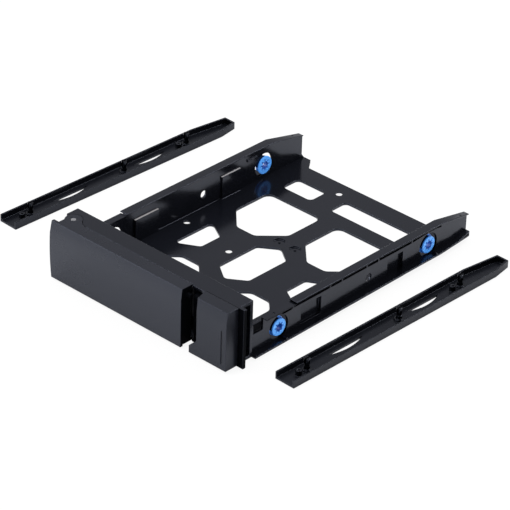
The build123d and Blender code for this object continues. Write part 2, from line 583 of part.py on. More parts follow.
def front_frame():
    """The frame behind the handle: back wall with vents, plates, ears, guide ridge and hooks."""
    rear = back(FRAME_DEPTH)
    wall_front = rear - SHELL_T
    part = block(-FRAME_HALF, FRAME_RIGHT, wall_front, rear, FRAME_BOTTOM, FRAME_TOP)
    ledge = ledge_shape()
    part += slab(ledge, FRAME_TOP - PLATE_T, FRAME_TOP)
    part += slab(ledge, FRAME_BOTTOM, FRAME_BOTTOM + PLATE_T)
    part += block(-FRAME_HALF, -FRAME_HALF + SHELL_T, back(10.3), rear, FRAME_BOTTOM, FRAME_TOP)
    part += block(LEVER_RIGHT + 0.4, GROOVE_FLOOR, back(FRAME_FRONT_DEPTH), back(FRAME_FRONT_DEPTH) + SHELL_T,
                  FRAME_BOTTOM, FRAME_TOP)
    part += block(GROOVE_FLOOR - SHELL_T, GROOVE_FLOOR, back(FRAME_FRONT_DEPTH), rear,
                  FRAME_BOTTOM, FRAME_TOP)
    part += block(GROOVE_FLOOR - 1, GUIDE_OUT, back(FRAME_FRONT_DEPTH), back(FRAME_FRONT_DEPTH) + GUIDE_T,
                  0, FRAME_TOP)
    part += block(LEVER_RIGHT + 0.4, LEVER_RIGHT + 0.4 + SHELL_T, back(FRAME_FRONT_DEPTH), rear,
                  FRAME_BOTTOM, FRAME_TOP)
    pitch = (2 * (WEB_IN - VENT_END) + VENT_BAR) / VENTS
    start = VENT_END - WEB_IN
    for number in range(VENTS):
        x = start + number * pitch
        part -= block(x, x + pitch - VENT_BAR, wall_front - 1, rear + 1, VENT_BOTTOM, VENT_TOP)
    for low in (FACE_TOP - PLATE_T - EAR_GAP - EAR_T, LEVER_PLATE_BOTTOM + PLATE_T + EAR_GAP):
        part += upright(PIVOT_X, back(PIVOT_DEPTH), low, low + EAR_T, EAR_R)
        part += block(-FRAME_HALF + 0.4, PIVOT_X + EAR_R, back(PIVOT_DEPTH + 1.5), rear - 0.2,
                      low, low + EAR_T)
    part -= upright(PIVOT_X, back(PIVOT_DEPTH), -1, FRAME_TOP + 1, PIN_R + 0.02)
    part += block(BLOCK_LEFT_BACK - STOP_LENGTH, BLOCK_LEFT_BACK, back(SEAM_DEPTH - 2.2),
                  back(FRAME_FRONT_DEPTH) + 0.2, STOP_LOW, STOP_HIGH)
    for x in SCREW_XS:
        y, boss_top = back(SCREW_DEPTH), FRAME_BOTTOM + SCREW_BOSS_H
        part += upright(x, y, FRAME_BOTTOM, boss_top, SCREW_BOSS_R)
        part -= upright(x, y, FRAME_BOTTOM - 1, boss_top - 0.8, SCREW_R + 0.02)
    for side in (-1, 1):
        hook = block(PAD_FACE, WEB_IN - HOOK_CLEAR, rear - 0.5, rear + HOOK_LENGTH, HOOK_LOW, HOOK_HIGH)
        y0, y1 = (back(depth) for depth in WINDOW_DEPTHS)
        hook += block(PAD_FACE, WEB_IN + HOOK_BITE, y0 + WINDOW_CLEAR, y1 - WINDOW_CLEAR, HOOK_LOW, HOOK_HIGH)
        part += hook if side > 0 else mirrored(hook)
    pipe = PIPE_W / 2 + PIPE_CLEAR
    x = SLOT_X - PIPE_ASIDE
    part -= block(x - pipe, x + pipe, back(FRAME_FRONT_DEPTH) - 1, rear + 1,
                  PIPE_LOW - PIPE_CLEAR, PIPE_HIGH + PIPE_CLEAR)
    return part


def light_pipe():
    """The clear pipe that carries the lamp's light from the frame's rear to the slot."""
    slim = SLOT_W / 2 - PIPE_CLEAR / 2
    low = SLOT_LOW + PIPE_CLEAR
    high = SLOT_HIGH - PIPE_CLEAR
    front = back(SHELL_T + LEAN)
    lens = block(SLOT_X - slim, SLOT_X + slim, back(LENS_INSET), front, low, high)
    lens += block(SLOT_X - LENS_REACH, SLOT_X + LENS_OVERLAP, front, back(LENS_BACK), low, high)
    x = SLOT_X - PIPE_ASIDE
    lens += block(x - PIPE_W / 2, x + PIPE_W / 2, back(LENS_BACK - PIPE_LAP), back(FRAME_DEPTH),
                  PIPE_LOW, PIPE_HIGH)
    return lens


def pivot_pin():
    """The upright steel pin that the lever turns on."""
    pin = upright(PIVOT_X, back(PIVOT_DEPTH), LEVER_PLATE_BOTTOM + 0.2, FACE_TOP - 0.3, PIN_R)
    return chamfer(pin.edges().filter_by(GeomType.CIRCLE), 0.25)


def frame_screws():
    """Four flat-head screws, from below, through the base into the frame."""
    screws = []
    for x in SCREW_XS:
        y = back(SCREW_DEPTH)
        screw = Pos(x, y, SCREW_HEAD_H / 2) * Cone(SCREW_HEAD_R, SCREW_R, SCREW_HEAD_H)
        screw += upright(x, y, SCREW_HEAD_H / 2, SCREW_LENGTH, SCREW_R)
        for turn in (0, 90):
            screw -= Pos(x, y, 0) * Rot(0, 0, turn) * Box(2 * SCREW_R, DRIVE_CROSS, 2 * DRIVE_CROSS)
        screws.append(screw)
    return Compound(children=screws)


def strip_outline(inset=0.0):
    """The strip in plan, straight with both rear corners tapered."""
    left_start, left_in = TAPER_LEFT
    right_start, right_in = TAPER_RIGHT
    shape = flat_shape([(0, 0), (STRIP_W, 0), (STRIP_W, right_start), (STRIP_W - right_in, STRIP_LENGTH),
                        (left_in, STRIP_LENGTH), (0, left_start)])
    return offset(shape, -inset, kind=Kind.INTERSECTION) if inset else shape


def strip_pin(y):
    """A split pin on its shoulder."""
    pin = upright(STRIP_PIN_X, y, STRIP_FLOOR / 2, STRIP_SHOULDER_TOP, STRIP_SHOULDER_R)
    pin += upright(STRIP_PIN_X, y, STRIP_FLOOR, STRIP_PIN_TOP, STRIP_PIN_R)
    neck = STRIP_SHOULDER_TOP + 1.6
    ring = upright(STRIP_PIN_X, y, neck, neck + STRIP_NECK_H, STRIP_PIN_R + 1)
    ring -= upright(STRIP_PIN_X, y, 0, STRIP_PIN_TOP, STRIP_NECK_R)
    pin -= ring
    pin -= Pos(STRIP_PIN_X, y, STRIP_PIN_TOP) * Box(STRIP_SPLIT_W, 2 * STRIP_PIN_R + 1, 2 * STRIP_SPLIT_DEEP)
    return pin


def spring_slot(start, end):
    """A slot with one straight and one bowed edge, cut through the strip's floor."""
    mid = (start + end) / 2
    x = SPRING_SLOT_X
    edge = Line((x, start), (x, end)) + ThreePointArc((x, end), (x + SPRING_SLOT_BOW, mid), (x, start))
    return slab(make_face(edge), -1, STRIP_FLOOR + 1)


def fastening_strip(place):
    """A loose strip, lying on its back with its pins upwards, at a place and turn."""
    part = slab(strip_outline(), 0, STRIP_H)
    hollow = strip_outline(STRIP_WALL)
    hollow += Pos(STRIP_W / 2, 0) * Rectangle(STRIP_W - 2 * STRIP_WALL, 4 * STRIP_WALL)
    part -= slab(hollow, STRIP_FLOOR, STRIP_H + 1)
    pins = [STRIP_PIN_FIRST, STRIP_PIN_FIRST + DRIVE_MIDDLE_HOLE, STRIP_PIN_FIRST + DRIVE_HOLE_SPACING]
    for start, end in SPRING_SLOTS:
        part -= spring_slot(start, end)
    for y in pins:
        part += strip_pin(y)
    for y in (pins[0] - POST_BACK, pins[2] - POST_BACK):
        part += upright(STRIP_PIN_X, y, STRIP_FLOOR / 2, POST_TOP, POST_R)
        part -= upright(STRIP_PIN_X, y, POST_TOP - POST_BORE_DEEP, POST_TOP + 1, POST_BORE_R)
    x, depth, turn = place
    return Pos(x, back(depth), 0) * Rot(0, 0, turn) * part


os.makedirs("parts", exist_ok=True)
nodes = {
    "tray_body": tray_body(),
    "front_frame": front_frame(),
    "handle_lever": handle_lever(),
    "block_cover": block_cover(),
    "light_pipe": light_pipe(),
    "pivot_pin": pivot_pin(),
    "frame_screws": frame_screws(),
    "fastening_strip_right": fastening_strip(RIGHT_STRIP_PLACE),
    "fastening_strip_left": fastening_strip(LEFT_STRIP_PLACE),
}
for side_name, side in (("left", -1), ("right", 1)):
    for end_name, hole_y in zip(("front", "rear"), HOLE_YS):
        nodes[f"washer_{end_name}_{side_name}"] = washer(side, hole_y)

for name, shape in nodes.items():
    export_step(shape, f"parts/{name}.step")
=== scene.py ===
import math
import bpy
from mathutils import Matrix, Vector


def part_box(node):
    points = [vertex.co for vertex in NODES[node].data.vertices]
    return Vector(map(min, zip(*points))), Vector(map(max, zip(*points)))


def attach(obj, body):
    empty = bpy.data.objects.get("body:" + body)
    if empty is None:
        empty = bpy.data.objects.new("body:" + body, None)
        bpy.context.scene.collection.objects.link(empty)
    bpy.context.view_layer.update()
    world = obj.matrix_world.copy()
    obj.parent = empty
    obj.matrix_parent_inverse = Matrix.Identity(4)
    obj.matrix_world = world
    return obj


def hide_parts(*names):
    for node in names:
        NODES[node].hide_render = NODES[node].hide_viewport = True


bl_info = {
    "name": "Hot Swap Drive Caddy",
    "version": (1, 0, 0),
    "blender": (4, 5, 0),
    "location": "View3D > Sidebar > Drive Caddy",
    "description": "Eased mouldings, rubber washers, finishes and a studio for a drive caddy",
    "category": "Object",
}

import bmesh
import bpy
import numpy as np
from mathutils import Matrix, Vector

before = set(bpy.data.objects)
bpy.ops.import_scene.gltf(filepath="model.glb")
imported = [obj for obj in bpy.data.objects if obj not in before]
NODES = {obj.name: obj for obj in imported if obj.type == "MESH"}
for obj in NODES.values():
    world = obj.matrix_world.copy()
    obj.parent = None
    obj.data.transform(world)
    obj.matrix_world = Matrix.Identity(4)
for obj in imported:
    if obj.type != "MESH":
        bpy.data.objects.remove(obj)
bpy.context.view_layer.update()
MM = 0.001

# The piece that stands for each moulded CAD node, with its body and its material slot.
MOULDINGS = {
    "tray_body": ("tray_moulding", "tray", "black_plastic"),
    "front_frame": ("front_frame_moulding", "tray", "black_plastic"),
    "block_cover": ("block_cover_moulding", "tray", "lever_plastic"),
    "handle_lever": ("handle_lever_moulding", "lever", "lever_plastic"),
    "fastening_strip_left": ("fastening_strip_left_moulding", "tray", "strip_plastic"),
    "fastening_strip_right": ("fastening_strip_right_moulding", "tray", "strip_plastic"),
}
WASHERS = ("washer_front_left", "washer_front_right", "washer_rear_left", "washer_rear_right")

# Merging a CAD node's loose triangles: corners closer than this become one, and neighbours that
# lean less than this from each other become one face.
SAME_PLACE = 0.0005 * MM
SAME_PLANE = math.radians(0.5)

# Edges sharper than the first angle are eased. Of the others, those over the second stay sharp,
# and along an eased strip only those over the third.
EASED_OVER = math.radians(35)
SHARP_OVER = math.radians(20)
STRIP_SHARP_OVER = math.radians(50)
# In widths of the eased strip: the room that it needs on the face to each side, and the length
# over which an edge is taken to run along it.
ROOM = 2.4
ALONG = 1.2
EASED_SEGMENTS = 2
# Where eased strips fold over each other, the edges near the fold are left out and the easing is
# done again: the most tries, how near counts at the first of them, and how much more at each
# later one, in widths.
EASING_TRIES = 24
FOLD_REACH = 1.5
FOLD_REACH_STEP = 0.3
# A triangle over this area, in square metres, is folded where the cosine of the angle between it
# and its face's normal isn't above FOLD_COSINE.
LEAST_AREA = 0.001 * MM * MM
FOLD_COSINE = 0.9
# Sides of an outline that meet within this share of their length from an end only touch.
END_SHARE = 1e-4

# Places on the mouldings, in millimetres: the side, the lowest and highest X, Y, Z, and the way
# that a face there looks where it matters. A side of "both" is mirrored to the tray's other wall.
# First the lower edge of the undercut beneath a flange, and how far it is lowered.
UNDERCUT_EDGE = ("both", (52.3, 8.4, 14.32), (53.2, 95.0, 14.85))
UNDERCUT_DROP = 0.7
# Faces deep in gaps and undercuts, by their middles, given painted shade.
SHADED = {
    "tray_body": (
        ("both", (52.3, -1.0, 12.9), (52.9, 111.0, 17.9), None),
        ("both", (51.95, -6.4, 1.6), (53.05, 6.4, 14.6), None),
        ("both", (51.95, 95.2, 1.6), (53.05, 108.0, 14.6), None),
        ("both", (51.95, -19.0, 11.0), (53.05, -10.3, 16.4), None)),
    "front_frame": (
        ("one", (26.4, -30.2, 1.0), (52.0, -26.9, 29.5), (0, -1, 0)),
        ("one", (26.4, -30.2, 24.0), (36.4, -26.9, 28.8), None),
        ("both", (51.9, -17.5, 11.5), (52.6, -9.5, 16.0), None),
        ("one", (18.0, -19.8, 2.0), (18.7, -17.4, 29.0), None),
        ("one", (57.2, -27.6, 0.5), (57.5, -25.0, 30.5), (1, 0, 0))),
    "handle_lever": (
        ("one", (26.45, -34.5, 0.0), (29.5, -27.0, 31.0), None),),
}
# Painted highlight on the pads' tops: a light grey where their top edges catch the light.
PAD_TOP_HIGHLIGHTS = {
    "tray_body": (
        ("both", (51.1, 13.4, 13.0), (51.89, 29.0, 13.3), None),
        ("both", (51.1, 71.6, 13.0), (51.89, 84.8, 13.3), None)),
}
# A face looks a given way where the cosine of the angle between them is above this.
FACING_COSINE = 0.8
# A fastening strip's pins and posts stand above its floor and near its middle line, in millimetres.
STRIP_FLOOR = 1.05
STRIP_KNOBS_WITHIN = 3.6

# A washer's outline: what is cut off its corners at the bore, the rim, the rim's back and the
# neck, and the points on each corner, on each face between two corners and round the axis.
BORE_CUT, RIM_CUT, BACK_CUT, NECK_CUT = 0.14 * MM, 0.34 * MM, 0.3 * MM, 0.2 * MM
CORNER_POINTS, FACE_POINTS, TURN_POINTS = 7, 18, 160
# The share of the face at which its first and last points lie.
FACE_SPAN = (0.04, 0.96)
# A washer's notches: their number, half their floor's width and the width of each side, where they
# start outside the bore and over what length they deepen, and where they end and over what length
# they fade, in shares of the disc's radius.
NOTCHES = 8
NOTCH_FLOOR, NOTCH_SIDE = 0.14 * MM, 0.34 * MM
NOTCH_START, NOTCH_DEEPENS = 0.2 * MM, 0.3 * MM
NOTCH_END, NOTCH_FADES = 0.70, 0.10
# How far painted shade darkens the rubber in a notch and at the neck, and the width of the ring
# of painted shade round the bore and of the part of it that fades.
NOTCH_SHADE, NECK_SHADE = 0.9, 0.8
RING_WIDTH, RING_FADES = 0.45 * MM, 0.3 * MM

# The cool tint of a satin moulding's gloss.
SHEEN = (0.70, 0.77, 1.0, 1.0)
# The finishes by the names of their materials: the colour property and the two factors that the
# tone lies between, the lowest and highest roughness, the grain in cells per metre, the share of
# etched cells in it and its height, and what is set on the shader's own sockets.
FINISHES = {
    "tray_plastic": {
        "colour": "tray", "tones": (0.8, 1.35), "rough": (0.13, 0.21), "grain": 2600.0,
        "cells": 0.4, "height": 0.005 * MM, "own": {"IOR": 1.44, "Specular Tint": SHEEN}},
    "face_plastic": {
        "colour": "lever", "tones": (0.8, 1.35), "rough": (0.24, 0.32), "grain": 3000.0,
        "cells": 0.4, "height": 0.008 * MM, "own": {"IOR": 1.49, "Specular Tint": SHEEN}},
    "block_plastic": {
        "colour": "lever", "tones": (0.8, 1.35), "rough": (0.24, 0.32), "grain": 3000.0,
        "cells": 0.4, "height": 0.008 * MM, "own": {"IOR": 1.43, "Specular Tint": SHEEN}},
    "strip_satin": {
        "colour": "strip", "tones": (0.8, 1.35), "rough": (0.24, 0.32), "grain": 2600.0,
        "cells": 0.4, "height": 0.008 * MM, "own": {"IOR": 1.33, "Specular Tint": SHEEN}},
    # The strips' pins and posts: glossier, and darker as painted shade.
    "strip_knob_plastic": {
        "colour": "shade", "tones": (0.8, 1.35), "rough": (0.10, 0.16), "grain": 2600.0,
        "cells": 0.4, "height": 0.004 * MM, "own": {"IOR": 1.36, "Specular Tint": SHEEN}},
    # Painted shade: near black with little reflection, for faces deep in gaps and undercuts.
    "deep_set_plastic": {
        "colour": "shade", "tones": (0.8, 1.35), "rough": (0.50, 0.62), "grain": 2600.0,
        "cells": 0.4, "height": 0.008 * MM, "own": {"IOR": 1.12, "Specular Tint": SHEEN}},
    # Painted highlight: light grey on the pads' tops.
    "rubbed_plastic": {
        "colour": "rubbed", "tones": (0.8, 1.2), "rough": (0.20, 0.30), "grain": 2600.0,
        "cells": 0.4, "height": 0.005 * MM, "own": {"IOR": 1.5}},
    # Painted glow: the rubber's emission brightens it beyond what the lamps give.
    "washer_rubber": {
        "colour": "rubber", "tones": (0.85, 1.15), "rough": (0.30, 0.42), "grain": 2200.0,
        "cells": 0.4, "height": 0.008 * MM, "own": {"IOR": 1.5, "Emission Strength": 0.25}},
    "turned_steel": {
        "colour": "steel", "tones": (0.8, 1.1), "rough": (0.2, 0.34), "grain": 5200.0,
        "cells": 0.1, "height": 0.004 * MM, "own": {"Metallic": 1.0}},
    "light_guide_clear": {
        "colour": "clear", "tones": (0.92, 1.05), "rough": (0.30, 0.42), "grain": 1600.0,
        "cells": 0.4, "height": 0.002 * MM, "own": {"Transmission Weight": 0.6, "IOR": 1.12}},
}
# A painted glow: the emission colours that make the rubber look lit, on a washer's faces and,
# darker as painted shade, in its depths.
RUBBER_GLOW = (0.05, 0.25, 1.0, 1.0)
DEPTHS_GLOW = (0.0, 0.01, 0.08, 1.0)
# The cloud's usual range, the range of the marks that makes a patch worn, how many times finer
# the marks are than the cloud, and what a worn patch adds to the roughness.
CLOUD_RANGE = (0.3, 0.7)
RUB_RANGE = (0.55, 0.78)
RUB_FINER = 9.0
RUB_ROUGHENS = 0.06
# A Mix node's sockets by number: the factor, its two numbers or two colours, and its results.
FACTOR, NUMBER_A, NUMBER_B, COLOUR_A, COLOUR_B = 0, 2, 3, 6, 7
NUMBER_RESULT, COLOUR_RESULT = 0, 2

# The floor lies a little lower than the caddy and is made of this many lines each way. White light
# takes these shares of what the camera and what a reflection sees of it.
FLOOR_DROP = 0.05 * MM
FLOOR_LINES = 9
WHITE_TO_CAMERA, WHITE_TO_GLOSS = 0.9, 0.1
WHITE = (1.0, 1.0, 1.0, 1.0)
# The surround from the horizon, 0, to straight above, 1: the sine of the height, the brightness
# and the factor on its blue.
SURROUND = ((0.0, 0.95, 1.0), (0.12, 0.85, 1.04), (0.42, 0.47, 1.04), (0.62, 0.47, 1.04),
            (0.85, 0.72, 1.04), (1.0, 0.76, 1.0))
# The lamps: name, place and aim in metres, side in metres, power in watts.
SOFTBOXES = (
    ("overhead_softbox", (-0.25, -0.25, 1.3), (0.0, 0.03, 0.0), 1.1, 12.0),
    ("front_softbox", (-1.25, -1.05, 0.85), (-0.15, -0.1, 0.0), 0.8, 14.0),
    ("back_softbox", (0.10, 0.76, 0.93), (0.0, 0.05, 0.0), 0.42, 6.0),
)
# The camera: its place in metres, its azimuth, elevation and roll in degrees, its lens and sensor
# in millimetres and the nearest and farthest that it sees in metres.
CAMERA_PLACE = (0.7933548, -0.8207219, 0.7132597)
CAMERA_AZIMUTH, CAMERA_ELEVATION, CAMERA_ROLL = 42.6393, 31.16099, 1.65835
CAMERA_LENS, CAMERA_SENSOR = 209.0557, 36.0
CAMERA_SEES = (0.05, 60.0)


class CaddySizes(bpy.types.PropertyGroup):
    """Sizes of the parts that are worked out here."""

    edge_ease: bpy.props.FloatProperty(
        name="Edge easing", description="Width of the eased strip along a moulding's edges",
        default=0.18 * MM, min=0.0, max=1.0 * MM, unit="LENGTH", subtype="DISTANCE", precision=5)
    washer_bore: bpy.props.FloatProperty(
        name="Washer bore", description="Radius of the hole through a washer",
        default=1.75 * MM, min=0.5 * MM, max=3.0 * MM,
        unit="LENGTH", subtype="DISTANCE", precision=5)
    washer_neck: bpy.props.FloatProperty(
        name="Washer neck", description="Radius of the washer between its two faces",
        default=2.9 * MM, min=2.0 * MM, max=5.0 * MM,
        unit="LENGTH", subtype="DISTANCE", precision=5)
    washer_skin: bpy.props.FloatProperty(
        name="Washer face thickness", description="Thickness of each face of a washer",
        default=0.8 * MM, min=0.3 * MM, max=2.0 * MM,
        unit="LENGTH", subtype="DISTANCE", precision=5)
    washer_outer: bpy.props.FloatProperty(
        name="Washer outward disc", description="Radius of the disc on the wall's outside",
        default=4.25 * MM, min=3.0 * MM, max=4.7 * MM,
        unit="LENGTH", subtype="DISTANCE", precision=5)
    washer_notch: bpy.props.FloatProperty(
        name="Washer notch depth", description="Depth of the radial notches in a washer's faces",
        default=0.45 * MM, min=0.0, max=0.8 * MM, unit="LENGTH", subtype="DISTANCE", precision=5)
    floor_span: bpy.props.FloatProperty(
        name="Floor span", description="Side of the square floor",
        default=12.0, min=1.0, max=50.0, unit="LENGTH", subtype="DISTANCE")


class CaddyColours(bpy.types.PropertyGroup):
    """Colours of the finishes."""

    tray: bpy.props.FloatVectorProperty(
        name="Tray plastic", description="Colour of the tray and the frame behind the face",
        default=(0.0034, 0.0038, 0.0056), min=0.0, max=1.0, size=3, subtype="COLOR")
    lever: bpy.props.FloatVectorProperty(
        name="Face plastic", description="Colour of the lever and the block beside it",
        default=(0.0040, 0.0045, 0.0066), min=0.0, max=1.0, size=3, subtype="COLOR")
    strip: bpy.props.FloatVectorProperty(
        name="Strip plastic", description="Colour of the two fastening strips",
        default=(0.0036, 0.0040, 0.0056), min=0.0, max=1.0, size=3, subtype="COLOR")
    rubber: bpy.props.FloatVectorProperty(
        name="Washer rubber", description="Colour of the damping washers",
        default=(0.11, 0.43, 1.0), min=0.0, max=1.0, size=3, subtype="COLOR")
    steel: bpy.props.FloatVectorProperty(
        name="Steel", description="Colour of the pivot pin and the screws",
        default=(0.55, 0.55, 0.56), min=0.0, max=1.0, size=3, subtype="COLOR")
    clear: bpy.props.FloatVectorProperty(
        name="Light guide", description="Tint of the smoky clear light guide",
        default=(0.020, 0.022, 0.028), min=0.0, max=1.0, size=3, subtype="COLOR")
    # Painted shade: the deep blue painted in a washer's bore and notches and at its neck.
    deep: bpy.props.FloatVectorProperty(
        name="Washer depths", description="Colour of a washer's bore and notches",
        default=(0.003, 0.070, 0.38), min=0.0, max=1.0, size=3, subtype="COLOR")
    # Painted shade: the near-black colour painted in gaps and undercuts and on the strips' pins and
    # posts.
    shade: bpy.props.FloatVectorProperty(
        name="Deep-set plastic", description="Colour of the plastic inside gaps and undercuts",
        default=(0.0010, 0.0012, 0.0018), min=0.0, max=1.0, size=3, subtype="COLOR")
    # Painted highlight: the light grey painted on the pads' tops, where their edges catch the
    # light.
    rubbed: bpy.props.FloatVectorProperty(
        name="Rubbed plastic", description="Colour of the pad tops that drives rub bright",
        default=(0.50, 0.48, 0.48), min=0.0, max=1.0, size=3, subtype="COLOR")
    floor: bpy.props.FloatVectorProperty(
        name="Floor", description="Colour of the studio floor",
        default=(0.86, 0.86, 0.86), min=0.0, max=1.0, size=3, subtype="COLOR")


def add_node(tree, kind, values=None, **settings):
    """A node of that kind, with its settings by name and its inputs' values by name or number."""
    made = tree.nodes.new(kind)
    for key, value in settings.items():
        setattr(made, key, value)
    for key, value in (values or {}).items():
        made.inputs[key].default_value = value
    return made


def new_group(name, inputs, outputs):
    """An empty node group with those float or vector sockets, and its two end nodes."""
    tree = bpy.data.node_groups.new(name, "ShaderNodeTree")
    for socket, kind, value in inputs:
        made = tree.interface.new_socket(socket, in_out="INPUT", socket_type=kind)
        if value is not None:
            made.default_value = value
    for socket, kind in outputs:
        tree.interface.new_socket(socket, in_out="OUTPUT", socket_type=kind)
    return tree, tree.nodes.new("NodeGroupInput"), tree.nodes.new("NodeGroupOutput")


def grain_group():
    """Fine moulded grain: small noise mixed with the cells of an etched mould, as one height."""
    found = bpy.data.node_groups.get("moulded_grain")
    if found:
        return found
    tree, start, end = new_group(
        "moulded_grain",
        [("Vector", "NodeSocketVector", None), ("Scale", "NodeSocketFloat", 2600.0),
         ("Cells", "NodeSocketFloat", 0.4)],
        [("Height", "NodeSocketFloat")])
    noise = add_node(tree, "ShaderNodeTexNoise", {"Detail": 4.0, "Roughness": 0.62})
    cells = add_node(tree, "ShaderNodeTexVoronoi")
    blend = add_node(tree, "ShaderNodeMix", data_type="FLOAT")
    link = tree.links.new
    link(start.outputs["Vector"], noise.inputs["Vector"])
    link(start.outputs["Scale"], noise.inputs["Scale"])
    link(start.outputs["Vector"], cells.inputs["Vector"])
    link(start.outputs["Scale"], cells.inputs["Scale"])
    link(start.outputs["Cells"], blend.inputs[FACTOR])
    link(noise.outputs["Fac"], blend.inputs[NUMBER_A])
    link(cells.outputs["Distance"], blend.inputs[NUMBER_B])
    link(blend.outputs[NUMBER_RESULT], end.inputs["Height"])
    return tree


def tone_group():
    """Slow changes over a surface: a broad cloud for the tone, and sparse worn patches."""
    found = bpy.data.node_groups.get("handled_tone")
    if found:
        return found
    tree, start, end = new_group(
        "handled_tone",
        [("Vector", "NodeSocketVector", None), ("Scale", "NodeSocketFloat", 18.0)],
        [("Cloud", "NodeSocketFloat"), ("Rub", "NodeSocketFloat")])
    cloud = add_node(tree, "ShaderNodeTexNoise", {"Detail": 3.0, "Roughness": 0.5})
    finer = add_node(tree, "ShaderNodeMath", {1: RUB_FINER}, operation="MULTIPLY")
    marks = add_node(tree, "ShaderNodeTexNoise", {"Detail": 5.0, "Roughness": 0.7})
    rub = add_node(tree, "ShaderNodeMapRange", {"From Min": RUB_RANGE[0], "From Max": RUB_RANGE[1]})
    link = tree.links.new
    link(start.outputs["Vector"], cloud.inputs["Vector"])
    link(start.outputs["Scale"], cloud.inputs["Scale"])
    link(start.outputs["Scale"], finer.inputs[0])
    link(start.outputs["Vector"], marks.inputs["Vector"])
    link(finer.outputs[0], marks.inputs["Scale"])
    link(marks.outputs["Fac"], rub.inputs["Value"])
    link(cloud.outputs["Fac"], end.inputs["Cloud"])
    link(rub.outputs["Result"], end.inputs["Rub"])
    return tree


def scaled(colour, by):
    """The colour times a number, kept within 1, as a socket takes it."""
    return (*(min(1.0, c * by) for c in colour), 1.0)


def finish(name):
    """The material of that name in FINISHES, made at its first use.

    The cloud sets the tone between two colours and the roughness, worn patches are rougher, and
    the grain is a bump."""
    found = bpy.data.materials.get(name)
    if found:
        return found
    row = FINISHES[name]
    colour = getattr(bpy.context.scene.caddy_colours, row["colour"])
    material = bpy.data.materials.new(name)
    material.use_nodes = True
    tree = material.node_tree
    shader = tree.nodes["Principled BSDF"]
    place = add_node(tree, "ShaderNodeTexCoord")
    tone = add_node(tree, "ShaderNodeGroup", node_tree=tone_group())
    grain = add_node(tree, "ShaderNodeGroup", {"Scale": row["grain"], "Cells": row["cells"]},
                     node_tree=grain_group())
    tint = add_node(tree, "ShaderNodeMix", {COLOUR_A: scaled(colour, row["tones"][0]),
                                            COLOUR_B: scaled(colour, row["tones"][1])},
                    data_type="RGBA")
    spread = add_node(tree, "ShaderNodeMapRange",
                      {"From Min": CLOUD_RANGE[0], "From Max": CLOUD_RANGE[1],
                       "To Min": row["rough"][0], "To Max": row["rough"][1]})
    roughened = add_node(tree, "ShaderNodeMath", {1: RUB_ROUGHENS}, operation="MULTIPLY_ADD")
    bump = add_node(tree, "ShaderNodeBump", {"Strength": 1.0, "Distance": row["height"]})
    link = tree.links.new
    link(place.outputs["Object"], tone.inputs["Vector"])
    link(place.outputs["Object"], grain.inputs["Vector"])
    link(tone.outputs["Cloud"], tint.inputs[FACTOR])
    link(tint.outputs[COLOUR_RESULT], shader.inputs["Base Color"])
    link(tone.outputs["Cloud"], spread.inputs["Value"])
    link(tone.outputs["Rub"], roughened.inputs[0])
    link(spread.outputs["Result"], roughened.inputs[2])
    link(roughened.outputs[0], shader.inputs["Roughness"])
    link(grain.outputs["Height"], bump.inputs["Height"])
    link(bump.outputs["Normal"], shader.inputs["Normal"])
    for socket, value in row["own"].items():
        shader.inputs[socket].default_value = value
    return material


def rubber_finish():
    """The washers' soft rubber, which glows a little: a painted glow from its emission.

    Its colour and its glow deepen as painted shade where the surface's painted-shade value rises."""
    found = bpy.data.materials.get("washer_rubber")
    if found:
        return found
    material = finish("washer_rubber")
    deep = (*bpy.context.scene.caddy_colours.deep, 1.0)
    tree = material.node_tree
    shader = tree.nodes["Principled BSDF"]
    tint = shader.inputs["Base Color"].links[0].from_socket
    sunk = add_node(tree, "ShaderNodeAttribute", attribute_name="sunk")
    deepen = add_node(tree, "ShaderNodeMix", {COLOUR_B: deep}, data_type="RGBA")
    glow = add_node(tree, "ShaderNodeMix", {COLOUR_A: RUBBER_GLOW, COLOUR_B: DEPTHS_GLOW},
                    data_type="RGBA")
    link = tree.links.new
    link(sunk.outputs["Fac"], deepen.inputs[FACTOR])
    link(tint, deepen.inputs[COLOUR_A])
    link(deepen.outputs[COLOUR_RESULT], shader.inputs["Base Color"])
    link(sunk.outputs["Fac"], glow.inputs[FACTOR])
    link(glow.outputs[COLOUR_RESULT], shader.inputs["Emission Color"])
    return material


def grid_mesh(name, points, wrapped):
    """A mesh of quads over a grid of points (rows, columns, 3).

    A wrapped grid is joined end to end both ways, as a ring is."""
    rows, columns = points.shape[:2]
    r = np.arange(rows if wrapped else rows - 1)[:, None]
    c = np.arange(columns if wrapped else columns - 1)[None, :]
    r2, c2 = (r + 1) % rows, (c + 1) % columns
    quads = np.stack([r * columns + c, r * columns + c2, r2 * columns + c2, r2 * columns + c], -1)
    quads = quads.reshape(-1, 4)
    mesh = bpy.data.meshes.new(name)
    mesh.vertices.add(rows * columns)
    mesh.vertices.foreach_set("co", points.reshape(-1).astype(np.float32))
    mesh.loops.add(quads.size)
    mesh.loops.foreach_set("vertex_index", quads.reshape(-1).astype(np.int32))
    mesh.polygons.add(len(quads))
    mesh.polygons.foreach_set("loop_start", np.arange(0, quads.size, 4, dtype=np.int32))
    mesh.update(calc_edges=True)
    mesh.validate()
    turn_outwards(mesh)
    return mesh


def turn_outwards(mesh):
    """Faces of the mesh made to agree and, where it is closed, to point outwards."""
    work = bmesh.new()
    work.from_mesh(mesh)
    bmesh.ops.recalc_face_normals(work, faces=work.faces)
    work.to_mesh(mesh)
    work.free()


def place_piece(name, mesh, material, body, node):
    """The mesh as a piece in the scene, on its body and the node it stands for."""
    mesh.materials.append(material)
    piece = bpy.data.objects.new(name, mesh)
    bpy.context.scene.collection.objects.link(piece)
    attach(piece, body)
    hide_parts(node)
    return piece


